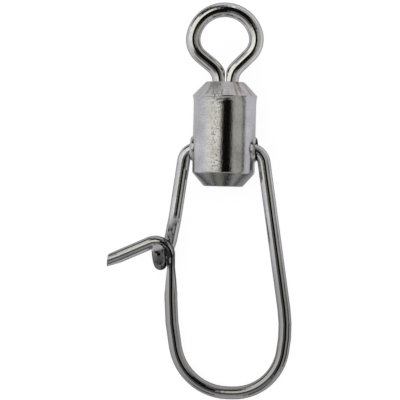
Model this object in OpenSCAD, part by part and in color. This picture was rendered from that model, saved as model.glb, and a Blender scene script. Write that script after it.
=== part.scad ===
// Fishing snap swivel, lying on its side: barrel, line eye and one-wire snap.
// +Y runs along the swivel towards the line eye, +X across the snap, +Z up. Millimetres.
// The origin is the middle of the line eye.

/* [Barrel] */
// Outside diameter of the barrel
barrel_dia = 7.7; // [6.5:0.1:9.5]
// Height of the top face above the cross hole
barrel_top = 8.25; // [7.2:0.05:10.5]
// Depth of the closed end below the cross hole
barrel_bottom = 4.62; // [3.7:0.05:6]
// Diameter of the flat top face
top_face_dia = 4.7; // [4.1:0.1:5.6]
// Diameter of the flat closed end
end_face_dia = 4.76; // [3.5:0.1:6]
// Length of the tapered closed end
end_taper = 1.7; // [1.2:0.05:2.2]
// How far the swaged rim stands out from the side
rim_proud = 0.135; // [0.08:0.005:0.3]
// Length over which the rim runs back into the side
rim_fade = 1.05; // [0.8:0.05:1.6]
// Thickness of the barrel wall
wall = 0.65; // [0.5:0.05:0.8]

/* [Cross hole] */
// Diameter of the hole for the snap wire
cross_hole_dia = 2.3; // [2.2:0.05:2.8]
// How far the collar round the hole stands out
collar_proud = 0.2; // [0.1:0.02:0.3]
// Width of the collar at its outer edge
collar_land = 0.12; // [0.08:0.02:0.25]
// How far the mouth of the hole opens out
mouth_flare = 0.19; // [0.16:0.01:0.3]

/* [Line eye] */
// Diameter of the eye wire
eye_wire_dia = 1.8; // [1.4:0.05:2]
// Clear diameter inside the eye
eye_inner_dia = 6.05; // [5:0.05:7.2]
// Height of the middle of the eye above the top face
eye_height = 4.97; // [4.6:0.05:6]
// Height above the top face where the shoulders meet the legs
neck_height = 1.31; // [1.15:0.05:1.6]
// Lean of the shoulders from the swivel's axis, in degrees
shoulder_lean = 48; // [44:1:54]
// Angle above the middle of the eye where the ring starts to run in, in degrees
round_end = 13; // [8:1:18]
// Centreline radius of the bend at the neck
neck_bend = 2.5; // [1.8:0.05:2.8]
// Sideways lean of the eye as formed, in degrees
eye_lean = 3; // [0:0.5:4]
// Turn of the eye on the swivel's axis at rest, in degrees
eye_turn = 9; // [0:1:20]
// Gap between the two flattened legs
leg_slit = 0.16; // [0.1:0.01:0.2]
// Gap between the eye and the barrel all round
swivel_gap = 0.1; // [0.07:0.01:0.16]
// Thickness of the heads at their edge
head_edge = 1.2; // [0.8:0.05:1.6]

/* [Snap wire] */
// Diameter of the snap wire
snap_wire_dia = 1.6; // [1.3:0.05:1.7]
// Distance from the cross hole to the middle of the wire at the bow
snap_reach = 30.33; // [25:0.1:37]
// Gap between the arms and the collars
arm_gap = 0.13; // [0.08:0.01:0.4]
// Spread of each arm from the swivel's axis, in degrees
arm_spread = 8.3; // [6.8:0.1:10]
// Centreline radius of the bends at the cross hole
hole_bend = 1.8; // [1.7:0.05:1.85]
// Half width of the bow on the long side
bow_right = 6.5; // [5.4:0.05:7.8]
// Half width of the bow on the latch side
bow_left = 4.8; // [3.9:0.05:5.7]

/* [Latch] */
// Distance of the latch arm from the swivel's axis
latch_side = 6.5; // [6.1:0.05:7.8]
// Distance from the cross hole down to the middle of the arch
arch_depth = 13.55; // [12.4:0.05:16]
// Centreline radius of the arch
arch_bend = 1.85; // [1.6:0.05:2.2]
// Droop of the lever below level, in degrees
lever_droop = 24.2; // [20:0.2:29]
// Straight length of the lever
lever_length = 5.82; // [4.8:0.05:7]
// How much the cut end of the lever is nipped thinner
lever_nip = 0.2; // [0.1:0.02:0.3]
// Slope of the cut across the lever's end, in degrees
lever_cut = 6; // [0:1:12]
// Width of the latch arm where it is pressed flat
pressed_width = 0.76; // [0.62:0.02:0.92]
// Length of the pressed flat below the arch
pressed_length = 1.35; // [1.1:0.05:1.65]
// Length over which the flat runs out to the round wire
pressed_taper = 3.3; // [2.7:0.05:4]
// How far the pressed metal stands out front and back
pressed_spread = 0.06; // [0.04:0.005:0.09]
// Free play between the arch and the crook below it
latch_play = 1.09; // [0.9:0.02:1.3]
// Gap between the crook and the latch arm beside it
latch_gap = 0.05; // [0.04:0.01:0.15]
// Gap between the crook's limbs and the arch between them
crook_gap = 0.14; // [0.08:0.01:0.2]
// Distance of the short arm's bend back above the arch
crook_offset = 4.93; // [4:0.05:5.9]
// Turn of the crook on the swivel's axis, in degrees
crook_turn = 4; // [0:0.5:7]
// Lean of the crook's free limb away from the snap, in degrees
limb_lean = 6; // [3:0.5:9]
// Height of the crook's tip above the underside of the arch
tip_height = 0.25; // [0.2:0.01:0.35]
// Slope of the cut across the crook's tip, in degrees
tip_slope = 28; // [22:1:34]

/* [Which part to show] */
// The part drawn: all, or one name from the list

/* [Hidden] */
$fn = 48;
// how far a cut runs past the surface it opens
past = 0.5;
barrel_r = barrel_dia / 2;
rim_r = barrel_r + rim_proud;
snap_r = snap_wire_dia / 2;
eye_r = eye_wire_dia / 2;

// rounding of the turned edges
edge = 0.06;
// height of the top cone, and of the matching inner seat, for each unit of radius
cone_slope = 1.045;
// height of the rim, where the top cone starts
rim_y = barrel_top - (rim_r - top_face_dia / 2) * cone_slope;
wall_fall = wall * sqrt(1 + cone_slope * cone_slope);
bore_r = barrel_r - wall;
// half spacing of the legs, whose flats face each other across the slit, and their spread at the neck
leg_share = 0.76;
neck_share = 1.26;
leg_x = eye_r * leg_share;
neck_hole_r = leg_x + eye_r + swivel_gap;
seat_y = barrel_top - wall_fall + (top_face_dia / 2 - neck_hole_r) * cone_slope;
seat_low_y = seat_y - (bore_r - neck_hole_r) * cone_slope;

// cross hole and collars
hole_r = cross_hole_dia / 2;
mouth_r = hole_r + mouth_flare;
collar_x = barrel_r + collar_proud;
collar_r = mouth_r + collar_land;
collar_foot_r = collar_r + collar_proud;

// the arch, the lever and the flat pressed below the arch
arch_top = [-latch_side, -arch_depth, 0];
arch_turn = 90 + lever_droop;
pressed_y = -arch_depth - pressed_length;
round_y = pressed_y - pressed_taper;
pressed_half = pressed_width / 2;

// snap wire corner points, in the plane of the snap: the long arm turns in at a share of the
// reach, and the latch arm at a share of what is left below its flat
shoulder_x = collar_x + arm_gap + snap_r / cos(arm_spread) - collar_r * tan(arm_spread);
corner_share = 0.737;
foot_share = 0.29;
corner_y = snap_reach * corner_share;
latch_foot_y = -round_y + (snap_reach + round_y) * foot_share;
long_corner = [shoulder_x + corner_y * tan(arm_spread), -corner_y, 0];
bow_corner_right = [bow_right, -snap_reach, 0];
bow_corner_left = [-bow_left, -snap_reach, 0];
latch_foot = [-latch_side, -latch_foot_y, 0];
right_side = norm(bow_corner_right - long_corner);
left_side = norm(latch_foot - bow_corner_left);
bow_side = bow_right + bow_left;

// the crook at the end of the short arm
swell = snap_r + pressed_spread;
crook_x = -latch_side - pressed_half - latch_gap - snap_r - swell * tan(crook_turn);
crook_y = -arch_depth + arch_bend - snap_r - latch_play - snap_r;
limb_z = snap_r + crook_gap + snap_r;
limb_top_y = -arch_depth + arch_bend - snap_r + tip_height;
short_y = -arch_depth + crook_offset;
behind_z = limb_z + pressed_spread + crook_gap / 2;
tip_rise = limb_top_y - crook_y;
// how far back the edges of the two cut ends are rounded, and the size left on the faces
cut_round = 0.08;
cut_share = 0.9;
tip_round = 0.16;
tip_share = 0.76;
// the crook's bend takes this share of the height left below the slanted cut
crook_share = 0.96;
crook_bend = (tip_rise - snap_r * tan(tip_slope) - tip_round) * crook_share;
crook_out = limb_z * tan(crook_turn);
// the bend behind the arch is wider than those at the cross hole
back_bend = hole_bend * 1.4;
behind_x = (crook_x - latch_side) / 2 + snap_r / 4;

// resting: the rim and the bow both touch the ground
snap_droop = asin((rim_r - snap_r) / snap_reach);

// line eye corner points
ring_r = (eye_inner_dia + eye_wire_dia) / 2;
eye_y = barrel_top + eye_height;
neck_y = barrel_top + neck_height;
neck_x = leg_x * neck_share;
ring_end = [ring_r * cos(round_end), eye_y + ring_r * sin(round_end)];
// distance from the end of the round part down to the shoulder's corner
shoulder_in = ((ring_end.y - neck_y) * sin(shoulder_lean) - (ring_end.x - neck_x) * cos(shoulder_lean))
    / sin(round_end + shoulder_lean);
shoulder = [ring_end.x + shoulder_in * sin(round_end), ring_end.y - shoulder_in * cos(round_end)];
shoulder_bend = shoulder_in / tan((shoulder_lean + round_end) / 2);
ring_steps = 4;
ring_step = (180 - 2 * round_end) / ring_steps;
head_r = bore_r - swivel_gap * 4;
seat_shift = swivel_gap * sqrt(1 + cone_slope * cone_slope);
head_top_r = neck_hole_r - swivel_gap * 1.5;
head_top_y = seat_y - seat_shift + (neck_hole_r - head_top_r) * cone_slope;
head_low_y = head_top_y - (head_r - head_top_r) * cone_slope;
head_round = 0.1;
head_bottom_y = head_low_y - head_edge - head_round;

// where the middle of the leaning eye comes out
function leaned(p) = [
    p.x * cos(eye_lean) - (p.y - neck_y) * sin(eye_lean),
    neck_y + p.x * sin(eye_lean) + (p.y - neck_y) * cos(eye_lean),
    0
];
eye_middle = leaned([0, eye_y]);

function unit(v) = v / norm(v);
function turn_at(a, b, c) = acos(unit(b - a) * unit(c - b));
// radius of the bend that uses up the given length of each side
function bend_for(a, b, c, length) = length / tan(turn_at(a, b, c) / 2);
function tangent_at(a, b, c, radius) = radius * tan(turn_at(a, b, c) / 2);
function ring_corner(i) = [
    ring_r / cos(ring_step / 2) * cos(ring_step * (i + 0.5) + round_end),
    eye_y + ring_r / cos(ring_step / 2) * sin(ring_step * (i + 0.5) + round_end)
];

// share of each side of the bow taken by its bends
upper_share = 0.34;
lower_share = 0.64;
bottom_share = 0.48;
long_bend = bend_for([shoulder_x, 0, 0], long_corner, bow_corner_right, right_side * upper_share);
bow_bend_right = bend_for(long_corner, bow_corner_right, bow_corner_left,
    min(right_side * lower_share, bow_side * bottom_share));
bow_bend_left = bend_for(bow_corner_right, bow_corner_left, latch_foot,
    min(left_side * lower_share, bow_side * bottom_share));
foot_bend = bend_for(bow_corner_left, latch_foot, arch_top, left_side * upper_share);
// corner where the line of the lever meets the line of the latch arm
arch_corner = [-latch_side, -arch_depth + arch_bend * tan(arch_turn / 2), 0];
lever_start = arch_bend * tan(arch_turn / 2);
lever_along = [cos(lever_droop), sin(lever_droop), 0];
lever_up = [-sin(lever_droop), cos(lever_droop), 0];
lever_tip = arch_corner - lever_along * (lever_start + lever_length) + lever_up * lever_nip / 2;
nip_start = arch_corner - lever_along * (lever_start + lever_length * 0.75);
nip_half = snap_r - lever_nip / 2;
half_out = (pressed_half + snap_r) / 2;
limb_tip = [crook_x + crook_out - tip_rise * tan(limb_lean), limb_top_y, limb_z];

// every corner of the snap wire from the lever to the crook:
// [corner, bend radius, half width in and out of the bend, half depth]
snap_corners = [
    [lever_tip, 0, nip_half, nip_half, snap_r],
    [nip_start, 0, snap_r, snap_r, snap_r],
    [arch_corner, arch_bend, snap_r, pressed_half, snap_r],
    [[-latch_side, -arch_depth - pressed_length / 2, 0], 0, pressed_half, pressed_half, swell],
    [[-latch_side, pressed_y, 0], 0, pressed_half, pressed_half, swell],
    [[-latch_side, pressed_y - pressed_taper / 2, 0], 0, half_out, half_out, snap_r + pressed_spread / 2],
    [[-latch_side, round_y, 0], 0, snap_r, snap_r, snap_r],
    [latch_foot, foot_bend, snap_r, snap_r, snap_r],
    [bow_corner_left, bow_bend_left, snap_r, snap_r, snap_r],
    [bow_corner_right, bow_bend_right, snap_r, snap_r, snap_r],
    [long_corner, long_bend, snap_r, snap_r, snap_r],
    [[shoulder_x, 0, 0], hole_bend, snap_r, snap_r, snap_r],
    [[-shoulder_x, 0, 0], hole_bend, snap_r, snap_r, snap_r],
    [[-shoulder_x + short_y * tan(arm_spread), short_y, 0], back_bend, snap_r, snap_r, snap_r],
    [[behind_x, -arch_depth + arch_bend - pressed_half / 2, -behind_z], hole_bend, snap_r, snap_r, snap_r],
    [[crook_x - crook_out, crook_y, -limb_z], crook_bend, snap_r, snap_r, snap_r],
    [[crook_x + crook_out, crook_y, limb_z], crook_bend, snap_r, snap_r, snap_r],
    [limb_tip, 0, snap_r, snap_r, snap_r]
];

// every corner of the eye wire, from one leg round to the other
eye_corners = concat(
    [
        [[leg_x, head_top_y + swivel_gap, 0], 0, eye_r, eye_r, eye_r],
        [[leg_x, barrel_top, 0], 0, eye_r, eye_r, eye_r],
        [[neck_x, neck_y, 0], neck_bend, eye_r, eye_r, eye_r],
        [leaned(shoulder), shoulder_bend, eye_r, eye_r, eye_r]
    ],
    [for (i = [0 : ring_steps - 1]) [leaned(ring_corner(i)), ring_r, eye_r, eye_r, eye_r]],
    [
        [leaned([-shoulder.x, shoulder.y]), shoulder_bend, eye_r, eye_r, eye_r],
        [[-neck_x, neck_y, 0], neck_bend, eye_r, eye_r, eye_r],
        [[-leg_x, barrel_top, 0], 0, eye_r, eye_r, eye_r],
        [[-leg_x, head_top_y + swivel_gap, 0], 0, eye_r, eye_r, eye_r]
    ]
);

// points round the wire, and the turn of a bend between two stations, in degrees
around = 24;
bend_step = 6.5;

// stations along a wire: [middle, direction, half width, half depth]
function bend_stations(a, b, c, corner) =
    let (
        radius = corner[1],
        inward = unit(b - a),
        outward = unit(c - b),
        turn = turn_at(a, b, c),
        start = b - inward * tangent_at(a, b, c, radius),
        middle = b + unit(outward - inward) * radius / cos(turn / 2),
        across = unit(start - middle),
        count = ceil(turn / bend_step)
    )
    [for (k = [0 : count])
        let (angle = turn * k / count)
        [
            middle + (across * cos(angle) + inward * sin(angle)) * radius,
            inward * cos(angle) - across * sin(angle),
            corner[2] + (corner[3] - corner[2]) * k / count,
            corner[4]
        ]
    ];
function stations(corners) =
    let (last = len(corners) - 1)
    concat(
        [[corners[0][0], unit(corners[1][0] - corners[0][0]), corners[0][2], corners[0][4]]],
        [for (i = [1 : last - 1])
            let (a = corners[i - 1][0], b = corners[i][0], c = corners[i + 1][0])
            each corners[i][1] == 0
                ? [[b, unit(c - a), corners[i][2], corners[i][4]]]
                : bend_stations(a, b, c, corners[i])
        ],
        [[
            corners[last][0],
            unit(corners[last][0] - corners[last - 1][0]),
            corners[last][2],
            corners[last][4]
        ]]
    );
// bends that run straight into each other share a station, kept once
same_station = 0.02;
function once(list) = [
    for (i = [0 : len(list) - 1])
        if (i == 0 || norm(list[i][0] - list[i - 1][0]) > same_station)
            list[i]
];

// the depth direction carried along the wire without twist
function carried(depth, along) = unit(depth - along * (depth * along));
function depths(list, first) = [
    for (
        i = 0, depth = first;
        i < len(list);
        i = i + 1, depth = i < len(list) ? carried(depth, list[i][1]) : depth
    )
        depth
];

function held(value, low, high) = max(low, min(high, value));
// one ring of points: a circle, pressed flat where the half width is less than the half depth
function ring(station, depth) =
    let (side = cross(depth, station[1]))
    [for (k = [0 : around - 1])
        let (angle = 360 * (k + 0.5) / around)
        station[0]
            + side * held(station[3] * cos(angle), -station[2], station[2])
            + depth * (station[3] * sin(angle))
    ];
// a ring slid along the wire onto a cutting plane, and drawn in towards its own middle
function cut_ring(points, along, plane_point, plane_normal, share) =
    let (
        slid = [for (p = points) p + along * (((plane_point - p) * plane_normal) / (along * plane_normal))],
        middle = [for (i = [0 : 2]) sum_of(slid, i) / around]
    )
    [for (p = slid) middle + (p - middle) * share];
function sum_of(points, i, k = 0) = k == len(points) ? 0 : points[k][i] + sum_of(points, i, k + 1);

// closed skin over a list of rings; the end faces are laid out from a point that is on no flat
module skin(rings, from) {
    count = len(rings);
    faces = concat(
        [[for (k = [0 : around - 1]) (k + from) % around]],
        [for (i = [0 : count - 2]) for (k = [0 : around - 1]) [
            i * around + k,
            (i + 1) * around + k,
            (i + 1) * around + (k + 1) % around,
            i * around + (k + 1) % around
        ]],
        [[for (k = [around - 1 : -1 : 0]) (count - 1) * around + (k + from) % around]]
    );
    polyhedron(points = [for (r = rings) each r], faces = faces, convexity = 10);
}

// outside and inside of the barrel, as one revolved wall
module barrel_shell() {
    rotate([90, 0, 0])
        mirror([0, 0, 1])
            rotate_extrude($fn = 96)
                polygon([
                    [0, -barrel_bottom],
                    [end_face_dia / 2 - edge * 2, -barrel_bottom],
                    [end_face_dia / 2 + edge, -barrel_bottom + edge],
                    [barrel_r - edge, -barrel_bottom + end_taper - edge * 1.5],
                    [barrel_r, -barrel_bottom + end_taper + edge],
                    [barrel_r, rim_y - rim_fade],
                    [barrel_r + rim_proud * 0.25, rim_y - rim_fade * 0.66],
                    [barrel_r + rim_proud * 0.12, rim_y - rim_fade * 0.58],
                    [barrel_r + rim_proud * 0.52, rim_y - rim_fade * 0.38],
                    [barrel_r + rim_proud * 0.36, rim_y - rim_fade * 0.31],
                    [rim_r, rim_y - rim_fade * 0.1],
                    [rim_r, rim_y],
                    [top_face_dia / 2 + edge, barrel_top - edge],
                    [top_face_dia / 2 - edge, barrel_top],
                    [neck_hole_r + swivel_gap, barrel_top],
                    [neck_hole_r, barrel_top - swivel_gap],
                    [neck_hole_r, seat_y],
                    [bore_r, seat_low_y],
                    [bore_r, -barrel_bottom + end_taper],
                    [end_face_dia / 2 - wall * 0.4, -barrel_bottom + wall],
                    [0, -barrel_bottom + wall]
                ]);
}

// the rolled collar round one end of the cross hole
module collar() {
    rotate([0, 90, 0])
        translate([0, 0, barrel_r - wall / 2])
            rotate_extrude($fn = 64)
                polygon([
                    [hole_r * 0.8, 0],
                    [collar_foot_r, 0],
                    [collar_foot_r, wall / 2 - edge],
                    [collar_r + edge / 2, wall / 2 + collar_proud - edge],
                    [collar_r - edge / 2, wall / 2 + collar_proud],
                    [hole_r * 0.8, wall / 2 + collar_proud]
                ]);
}

// the cut for the hole, opening out at the mouth
module hole_cut() {
    rotate([0, 90, 0])
        rotate_extrude($fn = 64)
            polygon([
                [0, 0],
                [hole_r, 0],
                [hole_r, barrel_r - collar_proud],
                [mouth_r, collar_x],
                [mouth_r + mouth_flare, collar_x + past],
                [0, collar_x + past]
            ]);
}

module barrel() {
    color([0.62, 0.62, 0.64])
        difference() {
            union() {
                barrel_shell();
                collar();
                mirror([1, 0, 0])
                    collar();
            }
            hole_cut();
            mirror([1, 0, 0])
                hole_cut();
        }
}

// the leg's points never cross the slit between the flattened legs
function slit_ring(points, side) = [for (p = points) [side * max(side * p.x, leg_slit / 2), p.y, p.z]];

// a ring of the head, drawn round the swivel's axis
function head_ring(side, radius, y) = slit_ring(
    ring([[0, y, 0], [0, side, 0], radius, radius], [0, 0, 1]), side);

// one half head, from its underside up to the leg
function head_rings(side) = [
    head_ring(side, head_r - head_round, head_bottom_y),
    head_ring(side, head_r, head_bottom_y + head_round),
    head_ring(side, head_r, head_low_y),
    head_ring(side, head_top_r, head_top_y)
];

// one wire: legs pressed flat against each other, each ending in half a head
module line_eye() {
    list = once(stations(eye_corners));
    depth = depths(list, [0, 0, 1]);
    wire = [for (i = [0 : len(list) - 1])
        list[i][0].y < neck_y + neck_height / 2
            ? slit_ring(ring(list[i], depth[i]), sign(list[i][0].x))
            : ring(list[i], depth[i])
    ];
    left = head_rings(-1);
    color([0.68, 0.67, 0.65])
        rotate([0, eye_turn, 0])
            skin(concat(head_rings(1), wire, [for (i = [3 : -1 : 0]) left[i]]), around / 2);
}

// one wire from the lever, round the bow and through the barrel to the crook's tip
module snap_wire() {
    list = once(stations(snap_corners));
    depth = depths(list, [0, 0, 1]);
    rings = [for (i = [0 : len(list) - 1]) ring(list[i], depth[i])];
    last = len(list) - 1;
    end_cut = [cos(lever_cut), -sin(lever_cut), 0];
    lever_in = list[0][1] * cut_round;
    tip_cut = [0, cos(tip_slope), sin(tip_slope)];
    tip_in = list[last][1] * tip_round;
    color([0.6, 0.6, 0.61])
        rotate([snap_droop, 0, 0])
            skin(concat(
                [
                    cut_ring(rings[0], list[0][1], lever_tip, end_cut, cut_share),
                    cut_ring(rings[0], list[0][1], lever_tip + lever_in, end_cut, 1)
                ],
                [for (i = [1 : last - 1]) rings[i]],
                [
                    cut_ring(rings[last], list[last][1], limb_tip - tip_in, tip_cut, 1),
                    cut_ring(rings[last], list[last][1], limb_tip, tip_cut, tip_share)
                ]
            ), around / 4);
}

translate(-eye_middle) {
    barrel();
    line_eye();
    snap_wire();
}
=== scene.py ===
import math

import bpy
from mathutils import Matrix, Vector

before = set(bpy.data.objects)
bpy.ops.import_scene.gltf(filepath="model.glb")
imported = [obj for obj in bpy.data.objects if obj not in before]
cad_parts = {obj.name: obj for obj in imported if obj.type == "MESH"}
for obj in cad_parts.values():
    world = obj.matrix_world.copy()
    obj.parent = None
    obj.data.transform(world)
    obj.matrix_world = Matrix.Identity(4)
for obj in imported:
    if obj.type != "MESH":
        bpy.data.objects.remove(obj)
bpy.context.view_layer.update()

scene = bpy.context.scene
scene.view_settings.view_transform = "Standard"

MM = 0.001
WHITE = (1.0, 1.0, 1.0)

# the photograph's framing
PX = 0.1231 * MM                     # metres a pixel at the swivel
FRAME_PX = 400
HOLE_PX = (223.9, 149.0)             # where the barrel's axis meets the cross hole
HOLE = Vector((0.192, -13.215, 0.0)) * MM
ROLL = math.radians(1.35)            # clockwise lean of the barrel in the image
YAW = math.radians(9.0)              # the camera stands a little to the long arm's side
CAMERA_FAR = 0.42
CAMERA_CLIP = (0.01, 10.0)
SENSOR = 36.0                        # millimetres, as the lens is

# the ground, just under the lowest point of the swivel at rest
GROUND = -3.985 * MM
GROUND_GAP = 0.02 * MM
GROUND_MIDDLE = -18.0 * MM           # along the swivel
GROUND_SIZE = 1.2
PAPER = (0.60, 0.60, 0.64)
PAPER_GLOW = (0.16, 0.16, 0.17)      # added where the metal mirrors the paper
PAPER_SEEN = (0.90, 0.90, 0.90)      # what the camera sees, before the shadow
SHADOW_DEPTH = (0.16, 0.16, 0.16)    # lit share of it, which the shadow takes away

# the studio's tones, which show only in the metal
HORIZON = 90.0                       # degrees from straight up
TENT = (
    (0.0, (0.30, 0.30, 0.30)),
    (0.5, (0.36, 0.355, 0.34)),
    (1.0, (0.42, 0.42, 0.45)),
)
BRIGHT_SIDE = (
    (0.12, (0.34, 0.34, 0.35)),
    (0.30, (0.50, 0.50, 0.50)),
    (0.44, (0.80, 0.79, 0.74)),
    (0.53, (0.98, 0.96, 0.89)),
    (0.74, (1.0, 0.98, 0.93)),
    (0.84, (0.40, 0.39, 0.38)),
)
BEYOND_BRIGHT = (0.66, 0.68, 0.74)
GREY_SIDE = (0.42, 0.41, 0.38)
DIM_END = (0.085, 0.082, 0.078)
DIM_END_MIDDLE = (0.60, 0.59, 0.55)
PHOTOGRAPHER = (0.11, 0.105, 0.10)
TABLE_EDGE = (0.05, 0.05, 0.05)
PALE_WALL = (0.62, 0.61, 0.58)
FITTINGS = (0.060, 0.036, 0.026)
OPENING = (0.005, 0.005, 0.005)
EVEN_LIGHT = (0.90, 0.90, 0.90)      # what lights matt surfaces, from every side

# the plating
PIT_DEPTH = 0.05 * MM
CLOUD_SCALE = 320.0                  # broad clouds of tone
SHARP_EDGE = math.radians(40.0)

# marks on the barrel: streaks and specks, with painted shade on the lower cone and in the
# cross hole's mouth
RIM_AT = -6.67 * MM                  # height of the barrel's rim
LOWER_EDGE = -16.2 * MM              # height where the lower cone starts
EDGE_SOFT = 0.1 * MM
HOLE_MOUTH = 1.38 * MM               # radius of the cross hole's flared mouth
STREAK = (0.46, 0.37, 0.30)
STREAK_STRETCH = 60.0                # streaks run along the cone, not round it
STREAK_SCALE = 5.0
SPECK = (0.24, 0.235, 0.22)
SPECK_SCALE = 4200.0
SPECKS_FROM = -1.3 * MM              # sideways reach of the band of worn specks
SPECKS_TO = -0.1 * MM
# painted shade: the lower cone darker, standing in for the shadowed floor it mirrors
LOW_CONE_SHADE = (0.32, 0.32, 0.305)
# painted shade: near-black in the cross hole's flared mouth
HOLE_MOUTH_SHADE = (0.035, 0.034, 0.033)

# painted shade on the snap wire
BOW_FROM, BOW_TO = -20.0 * MM, -33.0 * MM
# painted shade: the bow darker than the rest of the wire
BOW_SHADE = (0.44, 0.44, 0.44)
CROOK_AT = (-7.1 * MM, -27.0 * MM)   # middle of the crook's cut end
CROOK_REACH = (1.55 * MM, 1.05 * MM)
# painted shade: darker round the crook's cut end, where it lies against the other wire
CROOK_SHADE = (0.20, 0.20, 0.195)


def add_camera():
    """A long lens from a little to the right, framed as the photograph is."""
    away = Vector((math.sin(YAW), 0.0, math.cos(YAW)))
    flat_right = Vector((math.cos(YAW), 0.0, -math.sin(YAW)))
    along = Vector((0.0, 1.0, 0.0))
    up = along * math.cos(ROLL) - flat_right * math.sin(ROLL)
    right = flat_right * math.cos(ROLL) + along * math.sin(ROLL)
    dx = FRAME_PX / 2 - HOLE_PX[0]
    dy = HOLE_PX[1] - FRAME_PX / 2
    aim = HOLE + (right * dx + up * dy) * PX
    data = bpy.data.cameras.new("photo_camera")
    data.sensor_width = SENSOR
    data.sensor_height = SENSOR
    data.sensor_fit = "HORIZONTAL"
    data.lens = SENSOR * CAMERA_FAR / (FRAME_PX * PX)
    data.clip_start, data.clip_end = CAMERA_CLIP
    camera = bpy.data.objects.new("photo_camera", data)
    scene.collection.objects.link(camera)
    turn = Matrix((right, up, away)).transposed()
    camera.matrix_world = Matrix.Translation(aim + away * CAMERA_FAR) @ turn.to_4x4()
    scene.camera = camera


def feed(tree, socket, value):
    """Set a socket to a number or an RGB colour, or link it to another node's output."""
    if isinstance(value, (int, float)):
        socket.default_value = value
    elif isinstance(value, tuple):
        socket.default_value = (*value, 1.0)
    else:
        tree.links.new(value, socket)


def node(tree, kind, *values, **named):
    """New node with its first sockets fed in order, and others by name."""
    made = tree.nodes.new(kind)
    for socket, value in zip(made.inputs, values):
        feed(tree, socket, value)
    for name, value in named.items():
        feed(tree, made.inputs[name.replace("_", " ")], value)
    return made


def math_node(tree, operation, *values):
    made = node(tree, "ShaderNodeMath", *values)
    made.operation = operation
    return made.outputs[0]


def times(tree, a, b):
    return math_node(tree, "MULTIPLY", a, b)


def minus(tree, a, b):
    return math_node(tree, "SUBTRACT", a, b)


def length(tree, a, b):
    squares = math_node(tree, "ADD", times(tree, a, a), times(tree, b, b))
    return math_node(tree, "SQRT", squares)


def parts(tree, vector):
    """The X, Y and Z of a vector."""
    return node(tree, "ShaderNodeSeparateXYZ", vector).outputs


def smooth(tree, value, start, end, low=0.0, high=1.0):
    """Soft step of a value from low at start to high at end."""
    made = node(tree, "ShaderNodeMapRange", value, start, end, low, high)
    made.interpolation_type = "SMOOTHSTEP"
    return made.outputs["Result"]


def ramp(tree, fac, stops):
    made = node(tree, "ShaderNodeValToRGB", fac)
    elements = made.color_ramp.elements
    while len(elements) < len(stops):
        elements.new(0.5)
    for element, (place, colour) in zip(elements, stops):
        element.position = place
        element.color = (*colour, 1.0)
    return made.outputs[0]


def blend(tree, fac, under, over):
    """Colour mix: under where fac is 0, over where it is 1."""
    made = tree.nodes.new("ShaderNodeMix")
    made.data_type = "RGBA"
    for place, value in ((0, fac), (6, under), (7, over)):
        feed(tree, made.inputs[place], value)
    return made.outputs[2]


def noise(tree, vector, scale, detail, roughness=0.5):
    made = node(tree, "ShaderNodeTexNoise", Vector=vector, Scale=scale, Detail=detail,
                Roughness=roughness)
    return made.outputs[0]


def plain(tree, kind, colour):
    """A one-colour shader."""
    return node(tree, kind, colour).outputs[0]


def choose(tree, fac, under, over):
    """Shader mix: under where fac is 0, over where it is 1."""
    return node(tree, "ShaderNodeMixShader", fac, under, over).outputs[0]


def add_shaders(tree, a, b):
    return node(tree, "ShaderNodeAddShader", a, b).outputs[0]


def add_world():
    """A pale tent with a dark opening overhead, a bright side and a grey side.

    Only reflections see it. Matt surfaces get even light, and the camera sees white.
    """
    world = bpy.data.worlds.new("studio")
    scene.world = world
    world.use_nodes = True
    tree = world.node_tree
    tree.nodes.clear()
    x, y, z = parts(tree, node(tree, "ShaderNodeTexCoord").outputs["Generated"])
    # degrees from straight up, laid out flat: across to +X, along to +Y
    tilt = math_node(tree, "DEGREES", math_node(tree, "ARCCOSINE", z))
    level = math_node(tree, "MAXIMUM", length(tree, x, y), 0.0001)
    spread = math_node(tree, "DIVIDE", tilt, level)
    across = times(tree, x, spread)
    along = times(tree, y, spread)

    def patch(centre, half, soft):
        """Soft-edged oval, as a mask."""
        dx = math_node(tree, "DIVIDE", minus(tree, across, centre[0]), half[0])
        dy = math_node(tree, "DIVIDE", minus(tree, along, centre[1]), half[1])
        return smooth(tree, length(tree, dx, dy), 1.0 + soft, 1.0 - soft)

    tent = ramp(tree, smooth(tree, along, -HORIZON, HORIZON), TENT)
    from_low = math_node(tree, "ADD", along, HORIZON)
    bright = ramp(tree, math_node(tree, "DIVIDE", from_low, 2.0 * HORIZON), BRIGHT_SIDE)
    grey = times(tree, smooth(tree, across, 34.0, 40.0), smooth(tree, across, HORIZON, 84.0))
    side = smooth(tree, across, -40.0, 10.0)
    back = smooth(tree, along, 30.0, 45.0)
    table = times(tree, smooth(tree, tilt, 78.0, 84.0), math_node(tree, "MAXIMUM", side, back))
    # each layer lies over those before it
    layers = (
        (smooth(tree, across, 2.0, -8.0), bright),
        (smooth(tree, across, -40.0, -85.0), BEYOND_BRIGHT),
        (grey, GREY_SIDE),
        (smooth(tree, along, -46.0, -78.0), DIM_END),
        (patch((-10.0, -86.0), (17.0, 26.0), 0.35), DIM_END_MIDDLE),
        (patch((-9.0, -20.0), (13.0, 12.0), 0.35), PHOTOGRAPHER),
        (table, TABLE_EDGE),
        (patch((5.0, 90.0), (25.0, 17.0), 0.3), PALE_WALL),
        (patch((-12.0, 52.0), (32.0, 13.0), 0.3), FITTINGS),
        (patch((18.0, 56.0), (7.0, 8.0), 0.4), WHITE),
        (patch((16.5, 4.0), (22.0, 38.0), 0.08), OPENING),
    )
    colour = tent
    for mask, over in layers:
        colour = blend(tree, mask, colour, over)

    path = node(tree, "ShaderNodeLightPath").outputs
    studio = plain(tree, "ShaderNodeBackground", colour)
    even = plain(tree, "ShaderNodeBackground", EVEN_LIGHT)
    white = plain(tree, "ShaderNodeBackground", WHITE)
    lit = choose(tree, path["Is Diffuse Ray"], studio, even)
    node(tree, "ShaderNodeOutputWorld", choose(tree, path["Is Camera Ray"], lit, white))


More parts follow.
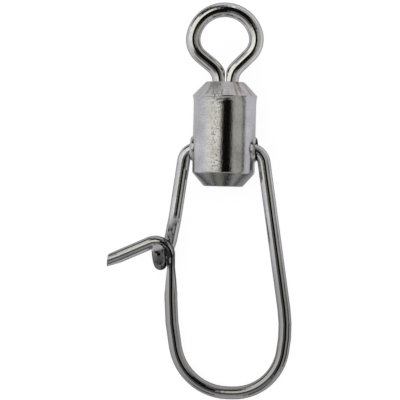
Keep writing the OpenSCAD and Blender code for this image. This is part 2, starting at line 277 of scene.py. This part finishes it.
def add_floor():
    """White paper; the camera sees it as plain white with the swivel's faint shadow."""
    bpy.ops.mesh.primitive_plane_add(
        size=GROUND_SIZE, location=(0.0, GROUND_MIDDLE, GROUND - GROUND_GAP))
    floor = bpy.context.object
    floor.name = "floor"
    material = bpy.data.materials.new("floor")
    material.use_nodes = True
    tree = material.node_tree
    tree.nodes.clear()
    path = node(tree, "ShaderNodeLightPath").outputs
    paper = plain(tree, "ShaderNodeBsdfDiffuse", PAPER)
    mirrored = add_shaders(tree, paper, plain(tree, "ShaderNodeEmission", PAPER_GLOW))
    seen = add_shaders(tree, plain(tree, "ShaderNodeBsdfDiffuse", SHADOW_DEPTH),
                       plain(tree, "ShaderNodeEmission", PAPER_SEEN))
    unseen = choose(tree, path["Is Glossy Ray"], paper, mirrored)
    node(tree, "ShaderNodeOutputMaterial", choose(tree, path["Is Camera Ray"], unseen, seen))
    floor.data.materials.append(material)


def metal(name, light, dark, rough, bump, grain_scale, edge_tint, marks=None):
    """Dark nickel plate: uneven tone, uneven polish, and fine pits in the plating."""
    material = bpy.data.materials.new(name)
    material.use_nodes = True
    tree = material.node_tree
    tree.nodes.clear()
    place = node(tree, "ShaderNodeTexCoord").outputs["Object"]
    fine = noise(tree, place, grain_scale, 5.0, 0.6)
    broad = noise(tree, place, CLOUD_SCALE, 3.0)
    mixed = math_node(tree, "ADD", times(tree, fine, 0.5), times(tree, broad, 0.5))
    tone = blend(tree, smooth(tree, mixed, 0.36, 0.64), dark, light)
    if marks is not None:
        tone = marks(tree, tone, place)
    pits = node(tree, "ShaderNodeBump", Strength=bump, Distance=PIT_DEPTH, Height=fine)
    shader = node(
        tree, "ShaderNodeBsdfPrincipled", Metallic=1.0, Base_Color=tone,
        Specular_Tint=(edge_tint, edge_tint, edge_tint), Normal=pits.outputs[0],
        Roughness=smooth(tree, fine, 0.35, 0.65, rough * 0.75, rough * 1.35))
    node(tree, "ShaderNodeOutputMaterial", shader.outputs[0])
    return material


def barrel_marks(tree, tone, place):
    """Streaks on the top cone, worn specks, painted shade on the lower cone and painted shade
    in the cross hole's mouth.
    """
    x, y, z = parts(tree, place)
    sideways = minus(tree, x, HOLE.x)
    angle = math_node(tree, "ARCTAN2", sideways, z)
    wrapped = node(tree, "ShaderNodeCombineXYZ", angle, times(tree, y, STREAK_STRETCH))
    streaks = smooth(tree, noise(tree, wrapped.outputs[0], STREAK_SCALE, 2.0), 0.50, 0.62)
    on_cone = smooth(tree, y, RIM_AT - EDGE_SOFT, RIM_AT + EDGE_SOFT)
    tone = blend(tree, times(tree, streaks, on_cone), tone, STREAK)

    specks = smooth(tree, noise(tree, place, SPECK_SCALE, 3.0, 0.7), 0.53, 0.60)
    band = times(tree, smooth(tree, sideways, SPECKS_FROM, SPECKS_FROM + 0.5 * MM),
                 smooth(tree, sideways, SPECKS_TO + 0.3 * MM, SPECKS_TO))
    band = times(tree, band, smooth(tree, z, 0.0, 1.0 * MM))
    tone = blend(tree, times(tree, specks, band), tone, SPECK)

    # painted shade: the lower cone darkened below its edge
    low = smooth(tree, y, LOWER_EDGE + EDGE_SOFT, LOWER_EDGE - EDGE_SOFT)
    tone = blend(tree, low, tone, LOW_CONE_SHADE)

    # painted shade: near-black in the cross hole's mouth, a recess
    off_axis = length(tree, minus(tree, y, HOLE.y), z)
    shaded_mouth = smooth(tree, off_axis, HOLE_MOUTH + 0.06 * MM, HOLE_MOUTH - 0.02 * MM)
    return blend(tree, shaded_mouth, tone, HOLE_MOUTH_SHADE)


def snap_shade(tree, tone, place):
    """Painted shade: darker round the bow, and darker still round the crook's cut end."""
    x, y, z = parts(tree, place)
    # painted shade: darker round the bow
    tone = blend(tree, smooth(tree, y, BOW_FROM, BOW_TO), tone, BOW_SHADE)
    # painted shade: darker round the crook's cut end
    far = length(tree, minus(tree, x, CROOK_AT[0]), minus(tree, y, CROOK_AT[1]))
    return blend(tree, smooth(tree, far, *CROOK_REACH), tone, CROOK_SHADE)


def dress_pieces():
    """Give each CAD node its metal, shaded smooth except over its sharp edges."""
    materials = {
        "barrel": metal(
            "barrel_metal", (0.76, 0.76, 0.76), (0.52, 0.51, 0.50), rough=0.06, bump=0.40,
            grain_scale=5200.0, edge_tint=1.0, marks=barrel_marks),
        "line_eye": metal(
            "eye_metal", (0.84, 0.84, 0.83), (0.68, 0.67, 0.65), rough=0.07, bump=0.10,
            grain_scale=3600.0, edge_tint=0.25),
        "snap_wire": metal(
            "snap_metal", (0.80, 0.80, 0.81), (0.64, 0.64, 0.64), rough=0.08, bump=0.12,
            grain_scale=3600.0, edge_tint=0.25, marks=snap_shade),
    }
    for name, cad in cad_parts.items():
        cad.data.materials.clear()
        cad.data.materials.append(materials[name])
        for polygon in cad.data.polygons:
            polygon.use_smooth = True
        cad.data.set_sharp_from_angle(angle=SHARP_EDGE)


add_camera()
add_world()
add_floor()
dress_pieces()
